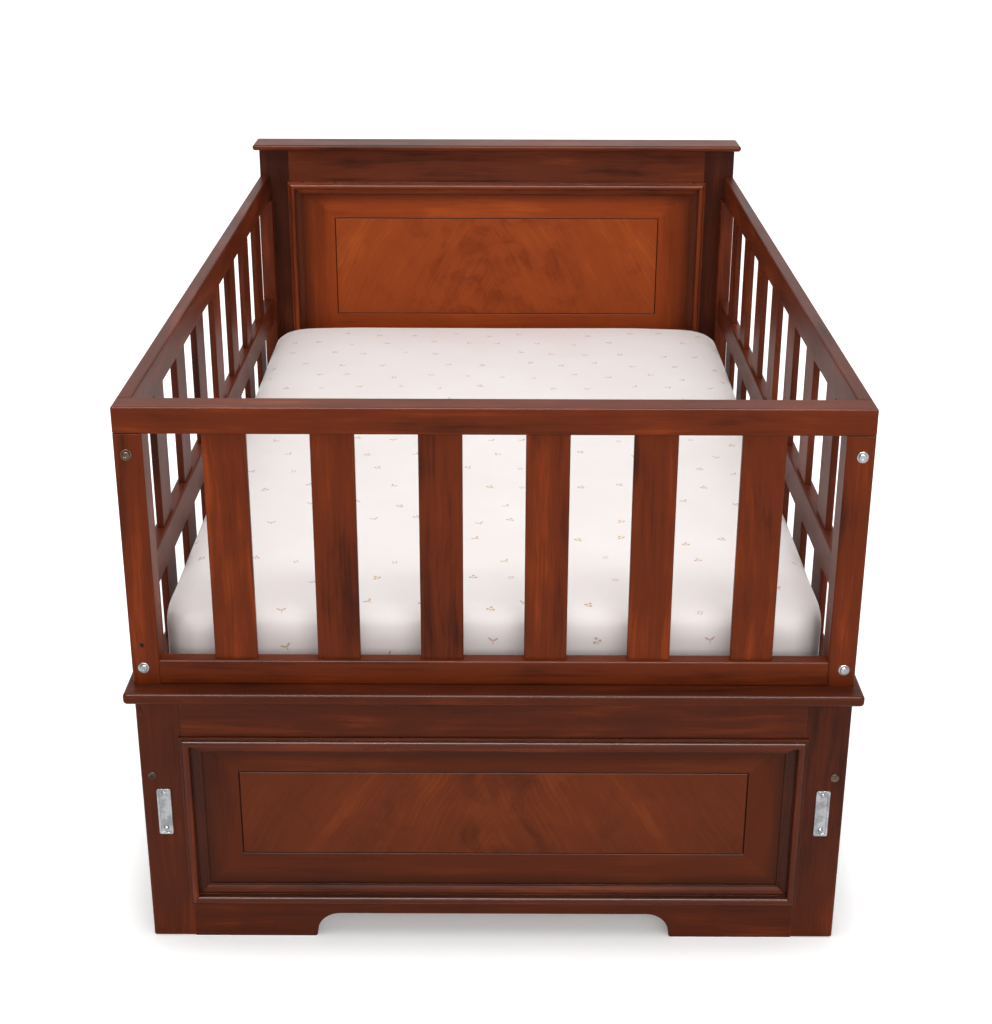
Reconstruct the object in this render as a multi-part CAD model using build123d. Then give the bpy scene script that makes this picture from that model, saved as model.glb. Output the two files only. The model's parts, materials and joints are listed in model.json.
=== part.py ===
"""Child's cot bed: panelled headboard and footboard, slatted sides and a slatted end guard.

The decorated faces of both boards look towards -Y, the foot end. The origin is on the floor
under the middle of the bed, +X is to the right seen from the foot end and +Z is up.
All sizes are in millimetres.
"""
import math
import os

from build123d import *

# Overall bed
WIDTH = 1040
SIDE_LENGTH = 1535
FOOT_HEIGHT = 433
GUARD_HEIGHT = 854
HEAD_HEIGHT = 926

# Caps of the two boards
CAP_REACH = 31
CAP_OVERHANG = 10
FOOT_CAP_THICK = 17
HEAD_CAP_THICK = 12
CAP_PLAN_RADIUS = 6
CAP_TOP_RADIUS = 5
CAP_UNDER_RADIUS = 6

# Frame and panel boards
STILE_WIDTH = 64
STILE_DEPTH = 45
STILE_CORNER = 4
RAIL_DEPTH = 32
PANEL_SETBACK = 10
PANEL_THICK = 12
GROOVE_DEPTH = 8
FOOT_OPENING = (63, 344)
HEAD_OPENING = (460, 837)
HEAD_LOWER_OPENING = (63, 350)
FLOOR_EASE = 2

# Arch between the bracket feet
ARCH_HALF_WIDTH = 269
ARCH_HEIGHT = 41
ARCH_RADIUS = 35
FOOT_TOE_RADIUS = 4

# Bolection moulding: widths run inwards from its outer edge, heights stand off the board's face
MOULD_LIP = 4
MOULD_WIDTH = 30
MOULD_FILLET_HEIGHT = 3.5
BEAD_CREST = (9.5, 10)
BEAD_END = (15, 3)
QUIRK_HEIGHT = -3
OVOLO_MIDDLE = (22.5, -4.2)
OVOLO_END = (27, -7.5)

# Fine vee groove that frames the veneered field of each panel
VEE_WIDTH = 3
VEE_SLOPE = 45
FOOT_FIELD_HALF_WIDTH = 377
FOOT_FIELD = (142.5, 282.5)
HEAD_FIELD_HALF_WIDTH = 359
HEAD_FIELD = (540, 758)

# End guard that stands on the footboard's cap
GUARD_SETBACK = 3
GUARD_DEPTH = 42
GUARD_POST_WIDTH = 40
GUARD_TOP_RAIL = 39
GUARD_BOTTOM_RAIL = 37.5
GUARD_BOTTOM_DEPTH = 24
GUARD_SLAT_WIDTH = 61
GUARD_SLAT_COUNT = 6
GUARD_SLAT_PITCH = 148
GUARD_SLAT_SETBACK = 7.5

# Slatted sides
SIDE_RAIL_THICK = 21
SIDE_TOP_RAIL = 50
SIDE_MIDDLE_RAIL = (532, 586)
SIDE_BOTTOM_RAIL = 50
SIDE_STILE_THICK = 28
SIDE_FRONT_STILE = 60
SIDE_BACK_STILE = 40
SIDE_SLAT_WIDTH = 75
SIDE_SLAT_COUNT = 7

# Stock shared by guard and sides
SLAT_THICK = 11
SLAT_EASE = 2.5
RAIL_EASE = 3
TENON = 12
TENON_SHOULDER = 8

# Bed base
BED_RAIL = (212, 352)
CLEAT_SIZE = 25
DECK_THICK = 18
DECK_SLAT_WIDTH = 70
DECK_SLAT_COUNT = 13
DECK_TOP = 372
DECK_END_GAP = 30
DECK_SIDE_GAP = 3

# Fixings
BOLT_X = 503
GUARD_BOLT_Z = (459, 785)
RAIL_BOLT_Z = 282
BOLT_RADIUS = 3
BOLT_HOLE_RADIUS = 3.4
BOLT_HEAD_RADIUS = 5.6
BOLT_HEAD_HEIGHT = 3
RAIL_BOLT_HEAD_RADIUS = 6.4
RAIL_BOLT_HEAD_HEIGHT = 1.6
SOCKET_RADIUS = 2.3
SOCKET_DEPTH = 1.2
WASHER_RADIUS = 8.2
WASHER_THICK = 1.4
BARREL_RADIUS = 5
BARREL_LENGTH = 18
BARREL_REACH = 28
BOLT_TIP = 8
DOWEL_RADIUS = 4
DOWEL_LENGTH = 40
DOWEL_EASE = 1
RAIL_DOWEL_Z = (242, 322)

# Latch plates on the footboard's stiles
PLATE_X = 488
PLATE_Z = 222
PLATE_WIDTH = 20.5
PLATE_HEIGHT = 77
PLATE_THICK = 3
PLATE_CORNER = 2.5
PLATE_RIM = 3
PLATE_POCKET_DEPTH = 1.4
PLATE_SCREW_RISE = 29.5
PLATE_SCREW_LENGTH = 24
PLATE_HEAD_RADIUS = 3.8
FLAT_SCREW_HEIGHT = 1
DOME_SCREW_HEIGHT = 3
DOME_SHARE = 0.95

# Wood screws that hold cleats and deck slats
SCREW_SHANK_RADIUS = 2
SCREW_HEAD_RADIUS = 4
SCREW_HEAD_DEPTH = 2.5
CLEAT_SCREW_LENGTH = 42
DECK_SCREW_LENGTH = 36
CLEAT_SCREW_COUNT = 4
SCREW_END_INSET = 95

# Mattress and its fitted sheet
MATTRESS_WIDTH = 980
MATTRESS_LENGTH = 1510
MATTRESS_HEIGHT = 158
MATTRESS_CORNER = 70
MATTRESS_TOP_ROLL = 30
MATTRESS_UNDER_ROLL = 22
MATTRESS_CROWN = 8
MATTRESS_CROWN_RUN = 190
MATTRESS_WAIST = 3
ROLL_TURN = 75
ROLL_STEPS = 3
CROWN_STEPS = 3
SHEET_THICK = 1.2
SHEET_TUCK = 110
SOFT_CLEARANCE = 0.3

# Places worked out from the sizes above
HALF = WIDTH / 2
LENGTH = CAP_REACH + STILE_DEPTH + SIDE_LENGTH + STILE_DEPTH + CAP_OVERHANG
FOOT_FACE = CAP_REACH - LENGTH / 2
FOOT_BACK = FOOT_FACE + STILE_DEPTH
HEAD_FACE = FOOT_BACK + SIDE_LENGTH
HEAD_BACK = HEAD_FACE + STILE_DEPTH
GUARD_FACE = FOOT_FACE + GUARD_SETBACK
OPENING_HALF = HALF - STILE_WIDTH
GUARD_BOTTOM_TOP = FOOT_HEIGHT + GUARD_BOTTOM_RAIL
GUARD_TOP_UNDER = GUARD_HEIGHT - GUARD_TOP_RAIL
SIDE_TOP_UNDER = GUARD_HEIGHT - SIDE_TOP_RAIL
SIDE_BOTTOM_TOP = BED_RAIL[1] + SIDE_BOTTOM_RAIL
SIDE_INNER = HALF - SIDE_RAIL_THICK
SIDE_STILE_INNER = HALF - SIDE_STILE_THICK
SIDE_RAIL_MIDDLE = HALF - SIDE_RAIL_THICK / 2
DECK_UNDER = DECK_TOP - DECK_THICK
LEFT = -1
RIGHT = 1
SIDES = {"left": LEFT, "right": RIGHT}
FACING_FOOT = Rot(90, 0, 0)
HANGING = (Align.CENTER, Align.CENTER, Align.MAX)


def block(x, y, z):
    """Square-edged block that fills the spans x, y and z."""
    size = Box(x[1] - x[0], y[1] - y[0], z[1] - z[0], align=(Align.MIN, Align.MIN, Align.MIN))
    return Pos(x[0], y[0], z[0]) * size


def bar(x, y, z, along, ease=RAIL_EASE):
    """Bar that fills the spans x, y and z, with the four edges along one axis rounded."""
    spans = (x, y, z)
    middle = tuple((span[0] + span[1]) / 2 for span in spans)
    lengths = tuple(span[1] - span[0] for span in spans)
    planes = {"X": Plane.YZ, "Y": Plane.ZX, "Z": Plane.XY}
    sections = {"X": (1, 2), "Y": (2, 0), "Z": (0, 1)}
    run = "XYZ".index(along)
    across, up = sections[along]
    outline = RectangleRounded(lengths[across], lengths[up], ease)
    section = Plane(origin=middle, x_dir=planes[along].x_dir, z_dir=planes[along].z_dir) * outline
    return extrude(section, lengths[run] / 2, both=True)


def on_side(shape, side):
    """The right-hand shape as it is, or mirrored to the left."""
    return shape if side == RIGHT else mirror(shape, about=Plane.YZ)


def upright_tenon(x, y, z):
    """Stub tenon inside an upright's section, over the height z."""
    return block(
        (x[0] + TENON_SHOULDER, x[1] - TENON_SHOULDER),
        (y[0] + TENON_SHOULDER, y[1] - TENON_SHOULDER),
        z,
    )


# Headboard and footboard


def stile(side, face, height):
    """Corner upright, grooved on its inner edge and rounded on its outer corners."""
    section = Rectangle(STILE_WIDTH, STILE_DEPTH, align=(Align.MIN, Align.MIN))
    section = fillet(section.vertices().group_by(Axis.X)[-1], STILE_CORNER)
    section -= Pos(0, PANEL_SETBACK) * Rectangle(GROOVE_DEPTH, PANEL_THICK, align=(Align.MIN, Align.MIN))
    upright = extrude(section, height)
    outer_foot_edges = upright.edges().group_by(Axis.Z)[0].sort_by(Edge.length)[-3:]
    upright = chamfer(outer_foot_edges, FLOOR_EASE)
    return on_side(Pos(OPENING_HALF, face, 0) * upright, side)


def board_rail(face, z, groove_top=False, groove_bottom=False):
    """Rail between the stiles, tongued into them and grooved where it holds a panel."""
    tongue_y = (face + PANEL_SETBACK, face + PANEL_SETBACK + PANEL_THICK)
    reach = OPENING_HALF + GROOVE_DEPTH
    rail = block((-OPENING_HALF, OPENING_HALF), (face, face + RAIL_DEPTH), z)
    rail += block((-reach, reach), tongue_y, z)
    if groove_top:
        rail -= block((-reach, reach), tongue_y, (z[1] - GROOVE_DEPTH, z[1]))
    if groove_bottom:
        rail -= block((-reach, reach), tongue_y, (z[0], z[0] + GROOVE_DEPTH))
    return rail


def base_rail(face, top):
    """Lowest rail, cut away in a shallow arch that leaves a bracket foot at each end."""
    rail = board_rail(face, (0, top), groove_top=True)
    arch = Rectangle(2 * ARCH_HALF_WIDTH, 2 * ARCH_HEIGHT)
    arch = fillet(arch.vertices(), ARCH_RADIUS)
    cut = Plane(origin=(0, face, 0), x_dir=(1, 0, 0), z_dir=(0, -1, 0)) * arch
    rail -= extrude(cut, RAIL_DEPTH, both=True)
    floor_edges = rail.edges().filter_by(Axis.Y).group_by(Axis.Z)[0]
    toes = [edge for edge in floor_edges if abs(edge.center().X) < OPENING_HALF - 1]
    return fillet(toes, FOOT_TOE_RADIUS)


def panel(face, opening):
    """Flat panel held in the grooves all round."""
    reach = OPENING_HALF + GROOVE_DEPTH
    front = face + PANEL_SETBACK
    height = (opening[0] - GROOVE_DEPTH, opening[1] + GROOVE_DEPTH)
    return block((-reach, reach), (front, front + PANEL_THICK), height)


def vee_frame(face, half_width, field):
    """Ring of vee groove: a pyramid cut less the core that stays standing inside it."""
    middle = (field[0] + field[1]) / 2
    front = Plane(origin=(0, face + PANEL_SETBACK, middle), x_dir=(1, 0, 0), z_dir=(0, 1, 0))
    width = 2 * half_width
    height = field[1] - field[0]
    depth = VEE_WIDTH / 2
    outer = extrude(front * Rectangle(width + VEE_WIDTH, height + VEE_WIDTH), depth, taper=VEE_SLOPE)
    core = extrude(front * Rectangle(width - VEE_WIDTH, height - VEE_WIDTH), depth, taper=-VEE_SLOPE)
    return outer - core


def moulding_run(length):
    """One mitred length of moulding along X, its outer edge at Z = 0 and its face to -Y."""
    fillet_end = (MOULD_LIP, MOULD_FILLET_HEIGHT)
    quirk = (BEAD_END[0], QUIRK_HEIGHT)
    shelf_end = (MOULD_WIDTH, OVOLO_END[1])
    back = ((MOULD_WIDTH, -PANEL_SETBACK), (MOULD_LIP, -PANEL_SETBACK), (MOULD_LIP, 0))
    outline = Polyline((MOULD_LIP, 0), (0, 0), (0, MOULD_FILLET_HEIGHT), fillet_end)
    outline += ThreePointArc(fillet_end, BEAD_CREST, BEAD_END)
    outline += Line(BEAD_END, quirk)
    outline += ThreePointArc(quirk, OVOLO_MIDDLE, OVOLO_END)
    outline += Polyline(OVOLO_END, shelf_end, *back)
    section = Plane(origin=(0, 0, 0), x_dir=(0, 0, 1), z_dir=(1, 0, 0)) * make_face(outline.edges())
    run = extrude(section, length / 2, both=True)
    for end in (LEFT, RIGHT):
        mitre = Plane(origin=(end * length / 2, 0, 0), z_dir=(end, 0, 1))
        run = split(run, bisect_by=mitre, keep=Keep.BOTTOM)
    return run


def moulding(face, opening):
    """Four mitred runs that lap the opening's edge and sit down on the panel."""
    width = 2 * (OPENING_HALF + MOULD_LIP)
    height = opening[1] - opening[0] + 2 * MOULD_LIP
    centre = Pos(0, face, (opening[0] + opening[1]) / 2)
    runs = []
    for quarter in range(4):
        length, reach = (width, height) if quarter % 2 == 0 else (height, width)
        runs.append(centre * Rot(0, 90 * quarter, 0) * Pos(0, 0, -reach / 2) * moulding_run(length))
    return runs


def cap(y, top, thick, round_back):
    """Board that caps a panelled end, with a soft nose on every edge that shows."""
    reach = HALF + CAP_OVERHANG
    slab = block((-reach, reach), y, (top - thick, top))
    corners = slab.edges().filter_by(Axis.Z)
    if not round_back:
        corners = corners.group_by(Axis.Y)[0]
    slab = fillet(corners, CAP_PLAN_RADIUS)
    for level, radius in ((-1, CAP_TOP_RADIUS), (0, CAP_UNDER_RADIUS)):
        rim = slab.edges().group_by(Axis.Z)[level]
        shown = [edge for edge in rim if round_back or edge.center().Y < y[1] - 1]
        slab = fillet(shown, radius)
    return slab


def footboard():
    """Low end: the guard stands on its cap."""
    top = FOOT_HEIGHT - FOOT_CAP_THICK
    cap_y = (FOOT_FACE - CAP_REACH, FOOT_BACK)
    face_panel = panel(FOOT_FACE, FOOT_OPENING) - vee_frame(FOOT_FACE, FOOT_FIELD_HALF_WIDTH, FOOT_FIELD)
    nodes = {f"foot_{name}_stile": stile(side, FOOT_FACE, top) for name, side in SIDES.items()}
    nodes["foot_top_rail"] = board_rail(FOOT_FACE, (FOOT_OPENING[1], top), groove_bottom=True)
    nodes["foot_base_rail"] = base_rail(FOOT_FACE, FOOT_OPENING[0])
    nodes["foot_panel"] = face_panel
    nodes["foot_moulding"] = moulding(FOOT_FACE, FOOT_OPENING)
    nodes["foot_cap"] = cap(cap_y, FOOT_HEIGHT, FOOT_CAP_THICK, round_back=False)
    return nodes


def headboard():
    """Tall end: moulded panel above the mattress and a plain one below it."""
    top = HEAD_HEIGHT - HEAD_CAP_THICK
    cap_y = (HEAD_FACE - CAP_REACH, HEAD_BACK + CAP_OVERHANG)
    middle = (HEAD_LOWER_OPENING[1], HEAD_OPENING[0])
    face_panel = panel(HEAD_FACE, HEAD_OPENING) - vee_frame(HEAD_FACE, HEAD_FIELD_HALF_WIDTH, HEAD_FIELD)
    nodes = {f"head_{name}_stile": stile(side, HEAD_FACE, top) for name, side in SIDES.items()}
    nodes["head_top_rail"] = board_rail(HEAD_FACE, (HEAD_OPENING[1], top), groove_bottom=True)
    nodes["head_middle_rail"] = board_rail(HEAD_FACE, middle, groove_top=True, groove_bottom=True)
    nodes["head_base_rail"] = base_rail(HEAD_FACE, HEAD_LOWER_OPENING[0])
    nodes["head_panel"] = face_panel
    nodes["head_lower_panel"] = panel(HEAD_FACE, HEAD_LOWER_OPENING)
    nodes["head_moulding"] = moulding(HEAD_FACE, HEAD_OPENING)
    nodes["head_cap"] = cap(cap_y, HEAD_HEIGHT, HEAD_CAP_THICK, round_back=True)
    return nodes


# End guard


def guard():
    """Two posts, two rails and a row of broad slats, standing on the footboard's cap."""
    post_x = (HALF - GUARD_POST_WIDTH, HALF)
    depth = (GUARD_FACE, GUARD_FACE + GUARD_DEPTH)
    bottom_y = (GUARD_FACE, GUARD_FACE + GUARD_BOTTOM_DEPTH)
    slat_y = (GUARD_FACE + GUARD_SLAT_SETBACK, GUARD_FACE + GUARD_SLAT_SETBACK + SLAT_THICK)
    tenon_z = (FOOT_HEIGHT + TENON_SHOULDER, GUARD_BOTTOM_TOP - TENON_SHOULDER)

    slat_z = (GUARD_BOTTOM_TOP - TENON, GUARD_TOP_UNDER + TENON)

    slats = []
    for place in range(GUARD_SLAT_COUNT):
        middle = (place - (GUARD_SLAT_COUNT - 1) / 2) * GUARD_SLAT_PITCH
        slat_x = (middle - GUARD_SLAT_WIDTH / 2, middle + GUARD_SLAT_WIDTH / 2)
        slats.append(bar(slat_x, slat_y, slat_z, "Z", SLAT_EASE))

    bottom_rail = bar((-post_x[0], post_x[0]), bottom_y, (FOOT_HEIGHT, GUARD_BOTTOM_TOP), "X")
    bottom_rail += block((-post_x[0] - TENON, post_x[0] + TENON), slat_y, tenon_z)

    post = bar(post_x, depth, (FOOT_HEIGHT, GUARD_TOP_UNDER), "Z")
    post += upright_tenon(post_x, depth, (GUARD_TOP_UNDER, GUARD_TOP_UNDER + TENON))
    post -= bottom_rail

    top_rail = block((-HALF, HALF), depth, (GUARD_TOP_UNDER, GUARD_HEIGHT))
    top_rail = fillet(top_rail.edges(), RAIL_EASE)
    posts = {f"guard_{name}_post": on_side(post, side) for name, side in SIDES.items()}
    for piece in (*slats, *posts.values()):
        top_rail -= piece
    for slat in slats:
        bottom_rail -= slat
    return {**posts, "guard_top_rail": top_rail, "guard_bottom_rail": bottom_rail, "guard_slats": slats}


# Slatted sides


def side_frame():
    """Right-hand side: rails, end stiles and full-height slats through the middle rail."""
    rail_x = (SIDE_INNER, HALF)
    stile_x = (SIDE_STILE_INNER, HALF)
    front_y = (FOOT_BACK, FOOT_BACK + SIDE_FRONT_STILE)
    back_y = (HEAD_FACE - SIDE_BACK_STILE, HEAD_FACE)
    between = (front_y[1], back_y[0])
    core_x = (SIDE_RAIL_MIDDLE - SLAT_THICK / 2, SIDE_RAIL_MIDDLE + SLAT_THICK / 2)

    stiles = []
    for stile_y in (front_y, back_y):
        upright = bar(stile_x, stile_y, (BED_RAIL[1], SIDE_TOP_UNDER), "Z")
        tenon_y = (stile_y[0] + TENON_SHOULDER, stile_y[1] - TENON_SHOULDER)
        stiles.append(upright + block(core_x, tenon_y, (SIDE_TOP_UNDER, SIDE_TOP_UNDER + TENON)))

    gap = (between[1] - between[0] - SIDE_SLAT_COUNT * SIDE_SLAT_WIDTH) / (SIDE_SLAT_COUNT + 1)
    slats = []
    for place in range(SIDE_SLAT_COUNT):
        start = between[0] + gap + place * (SIDE_SLAT_WIDTH + gap)
        height = (SIDE_BOTTOM_TOP - TENON, SIDE_TOP_UNDER + TENON)
        slats.append(bar(core_x, (start, start + SIDE_SLAT_WIDTH), height, "Z", SLAT_EASE))

    top_rail = bar(rail_x, (FOOT_BACK, HEAD_FACE), (SIDE_TOP_UNDER, GUARD_HEIGHT), "Y")
    cross_rails = []
    for rail_z in (SIDE_MIDDLE_RAIL, (BED_RAIL[1], SIDE_BOTTOM_TOP)):
        rail = bar(rail_x, between, rail_z, "Y")
        tenon_z = (rail_z[0] + TENON_SHOULDER, rail_z[1] - TENON_SHOULDER)
        rail += block(core_x, (between[0] - TENON, between[1] + TENON), tenon_z)
        stiles = [upright - rail for upright in stiles]
        cross_rails.append(rail)
    for slat in slats:
        top_rail -= slat
        cross_rails = [rail - slat for rail in cross_rails]
    for upright in stiles:
        top_rail -= upright
    return {
        "side_top_rail": top_rail,
        "side_middle_rail": cross_rails[0],
        "side_bottom_rail": cross_rails[1],
        "side_front_stile": stiles[0],
        "side_back_stile": stiles[1],
        "side_slats": slats,
    }


# Bed base


def bed_base():
    """Side rails bolted between the boards, cleats along them and the slats that carry the mattress."""
    rail = bar((SIDE_STILE_INNER, HALF), (FOOT_BACK, HEAD_FACE), BED_RAIL, "Y")
    cleat_y = (FOOT_BACK + DECK_END_GAP, HEAD_FACE - DECK_END_GAP)
    cleat_x = (SIDE_STILE_INNER - CLEAT_SIZE, SIDE_STILE_INNER)
    cleat = block(cleat_x, cleat_y, (DECK_UNDER - CLEAT_SIZE, DECK_UNDER))
    nodes = {f"{name}_bed_rail": on_side(rail, side) for name, side in SIDES.items()}
    nodes.update({f"{name}_cleat": on_side(cleat, side) for name, side in SIDES.items()})
    nodes["deck_slats"] = [deck_slat(middle) for middle in deck_slat_middles()]
    return nodes


def deck_slat(middle):
    """One board of the deck, laid across the cleats."""
    reach = SIDE_STILE_INNER - DECK_SIDE_GAP
    across = (middle - DECK_SLAT_WIDTH / 2, middle + DECK_SLAT_WIDTH / 2)
    return bar((-reach, reach), across, (DECK_UNDER, DECK_TOP), "X", SLAT_EASE)


def deck_slat_middles():
    """Where the deck slats lie along the bed."""
    first = FOOT_BACK + DECK_END_GAP + DECK_SLAT_WIDTH / 2
    last = HEAD_FACE - DECK_END_GAP - DECK_SLAT_WIDTH / 2
    pitch = (last - first) / (DECK_SLAT_COUNT - 1)
    return [first + place * pitch for place in range(DECK_SLAT_COUNT)]


# Fixings


def bolt(head_radius, head_height, length):
    """Socket-head bolt along +Y: its seat is at Y = 0 and its head looks to -Y."""
    head = extrude(Circle(head_radius), head_height)
    head = fillet(head.edges().group_by(Axis.Z)[-1], head_height / 2)
    socket = extrude(RegularPolygon(SOCKET_RADIUS, 6), SOCKET_DEPTH)
    shank = Cylinder(BOLT_RADIUS, length, align=HANGING)
    return FACING_FOOT * (head - Pos(0, 0, head_height - SOCKET_DEPTH) * socket + shank)


def bolt_hole(length):
    """Clearance hole for a bolt, along +Y from Y = 0."""
    return FACING_FOOT * Cylinder(BOLT_HOLE_RADIUS, length, align=HANGING)


def washer():
    """Flat washer under a bolt's head, its back at Y = 0."""
    ring = extrude(Circle(WASHER_RADIUS) - Circle(BOLT_HOLE_RADIUS), WASHER_THICK)
    rim = ring.edges().group_by(Axis.Z)[-1].sort_by(Edge.length)[-1]
    return FACING_FOOT * fillet(rim, WASHER_THICK / 2)


def barrel_nut():
    """Cross-drilled cylinder nut along X, threaded on the bolt's axis."""
    nut = Rot(0, 90, 0) * Cylinder(BARREL_RADIUS, BARREL_LENGTH)
    return nut - FACING_FOOT * Cylinder(BOLT_RADIUS, 3 * BARREL_RADIUS)


def barrel_hole(y, z):
    """Blind hole that lets a right-hand barrel nut in from the inner face of the side."""
    depth = BOLT_X + BARREL_LENGTH / 2 - SIDE_STILE_INNER
    hole = Rot(0, 90, 0) * Cylinder(BARREL_RADIUS, depth, align=(Align.CENTER, Align.CENTER, Align.MIN))
    return Pos(SIDE_STILE_INNER, y, z) * hole


def bolt_joint(seat, heading, thick, height, head, washered):
    """Right-hand bolt that clamps a thickness and ends in a barrel nut beyond it."""
    spot = Pos(BOLT_X, seat, height) * Rot(0, 0, 0 if heading > 0 else 180)
    lift = WASHER_THICK if washered else 0
    reach = thick + BARREL_REACH + BOLT_TIP
    nut_y = seat + heading * (thick + BARREL_REACH)
    return {
        "bolt": spot * Pos(0, -lift, 0) * bolt(*head, reach + lift),
        "washer": spot * washer(),
        "nut": Pos(BOLT_X, nut_y, height) * barrel_nut(),
        "holes": [spot * bolt_hole(reach), barrel_hole(nut_y, height)],
    }


def bolt_joints():
    """Right-hand bolted joints: low and high guard bolts, the headboard's, and the bed rail's."""
    button = (BOLT_HEAD_RADIUS, BOLT_HEAD_HEIGHT)
    flat = (RAIL_BOLT_HEAD_RADIUS, RAIL_BOLT_HEAD_HEIGHT)
    return {
        "guard": [bolt_joint(GUARD_FACE, 1, GUARD_DEPTH, z, button, True) for z in GUARD_BOLT_Z],
        "head": [bolt_joint(HEAD_BACK, -1, STILE_DEPTH, z, button, True) for z in GUARD_BOLT_Z],
        "rail": [
            bolt_joint(FOOT_FACE, 1, STILE_DEPTH, RAIL_BOLT_Z, flat, False),
            bolt_joint(HEAD_BACK, -1, STILE_DEPTH, RAIL_BOLT_Z, flat, False),
        ],
    }


def bolt_nodes(joints):
    """Bolts, washers and nuts by finish: the guard's high left bolt is an old dark one."""
    low, high = joints["guard"]
    every = [joint for group in joints.values() for joint in group]
    pair = list(SIDES.values())
    return {
        "guard_bolts": [on_side(low["bolt"], side) for side in pair] + [high["bolt"]],
        "guard_dark_bolt": on_side(high["bolt"], LEFT),
        "guard_washers": [on_side(low["washer"], side) for side in pair] + [high["washer"]],
        "guard_dark_washer": on_side(high["washer"], LEFT),
        "head_bolts": [on_side(joint["bolt"], side) for joint in joints["head"] for side in pair],
        "head_washers": [on_side(joint["washer"], side) for joint in joints["head"] for side in pair],
        "rail_bolts": [on_side(joint["bolt"], side) for joint in joints["rail"] for side in pair],
        "barrel_nuts": [on_side(joint["nut"], side) for joint in every for side in pair],
    }


def rail_dowels():
    """Right-hand locating dowels between the bed rail and the two boards."""
    pin = Rot(90, 0, 0) * Cylinder(DOWEL_RADIUS, DOWEL_LENGTH)
    pin = chamfer(pin.edges().filter_by(GeomType.CIRCLE), DOWEL_EASE)
    return [Pos(BOLT_X, y, z) * pin for y in (FOOT_BACK, HEAD_FACE) for z in RAIL_DOWEL_Z]


def latch_plate():
    """Pressed plate with a standing rim, its back at Y = 0, and its upper and lower screws."""
    plate = extrude(RectangleRounded(PLATE_WIDTH, PLATE_HEIGHT, PLATE_CORNER), PLATE_THICK)
    pocket = RectangleRounded(PLATE_WIDTH - 2 * PLATE_RIM, PLATE_HEIGHT - 2 * PLATE_RIM, PLATE_CORNER)
    floor = PLATE_THICK - PLATE_POCKET_DEPTH
    plate -= Pos(0, 0, floor) * extrude(pocket, PLATE_POCKET_DEPTH)
    screws = []
    for rise, height in ((PLATE_SCREW_RISE, FLAT_SCREW_HEIGHT), (-PLATE_SCREW_RISE, DOME_SCREW_HEIGHT)):
        head = extrude(Circle(PLATE_HEAD_RADIUS), height)
        head = fillet(head.edges().group_by(Axis.Z)[-1], height * DOME_SHARE)
        shank = Cylinder(SCREW_SHANK_RADIUS, PLATE_SCREW_LENGTH, align=HANGING)
        screws.append(Pos(0, rise, floor) * (head + shank))
    for screw in screws:
        plate -= screw
    spot = Pos(PLATE_X, FOOT_FACE, PLATE_Z) * FACING_FOOT
    return spot * plate, [spot * screw for screw in screws]


def wood_screw(length):
    """Countersunk screw driven along -Z, its head flush at Z = 0."""
    head = Cone(SCREW_SHANK_RADIUS, SCREW_HEAD_RADIUS, SCREW_HEAD_DEPTH, align=HANGING)
    return head + Cylinder(SCREW_SHANK_RADIUS, length, align=HANGING)


def cleat_screws():
    """Right-hand screws through the cleat into the bed rail."""
    first = FOOT_BACK + DECK_END_GAP + SCREW_END_INSET
    last = HEAD_FACE - DECK_END_GAP - SCREW_END_INSET
    pitch = (last - first) / (CLEAT_SCREW_COUNT - 1)
    spot = Pos(SIDE_STILE_INNER - CLEAT_SIZE, 0, DECK_UNDER - CLEAT_SIZE / 2) * Rot(0, -90, 0)
    screw = spot * wood_screw(CLEAT_SCREW_LENGTH)
    return [Pos(0, first + place * pitch, 0) * screw for place in range(CLEAT_SCREW_COUNT)]


def deck_screws():
    """Right-hand screws through the ends of the deck slats into the cleat."""
    screw = Pos(SIDE_STILE_INNER - CLEAT_SIZE / 2, 0, DECK_TOP) * wood_screw(DECK_SCREW_LENGTH)
    return [Pos(0, middle, 0) * screw for middle in deck_slat_middles()]


# Mattress


def mattress_form(shrink):
    """Padded block with rolled edges, a drawn-in waist and a crowned top, offset inwards by shrink."""
    height = MATTRESS_HEIGHT - 2 * shrink
    shoulder = height - MATTRESS_CROWN
    under = MATTRESS_UNDER_ROLL - shrink
    roll = MATTRESS_TOP_ROLL - shrink
    levels = []
    for step in range(ROLL_STEPS + 1):
        turn = math.radians(90 * step / ROLL_STEPS)
        levels.append((under * (1 - math.sin(turn)), under * (1 - math.cos(turn))))
    levels.append((MATTRESS_WAIST, (under + shoulder - roll) / 2))
    for step in range(ROLL_STEPS + 1):
        turn = math.radians(ROLL_TURN * step / ROLL_STEPS)
        levels.append((roll * (1 - math.cos(turn)), shoulder - roll * (1 - math.sin(turn))))
    rolled_inset, rolled_height = levels[-1]
    for step in range(1, CROWN_STEPS + 1):
        share = step / CROWN_STEPS
        rise = (height - rolled_height) * math.sin(math.radians(90 * share))
        levels.append((rolled_inset + MATTRESS_CROWN_RUN * share, rolled_height + rise))
    sections = []
    for inset, level in levels:
        width = MATTRESS_WIDTH - 2 * (shrink + inset)
        length = MATTRESS_LENGTH - 2 * (shrink + inset)
        sections.append(Pos(0, 0, level) * RectangleRounded(width, length, MATTRESS_CORNER))
    base = DECK_TOP + SOFT_CLEARANCE + shrink
    return Pos(0, (FOOT_BACK + HEAD_FACE) / 2, base) * loft(sections, ruled=True)


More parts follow.
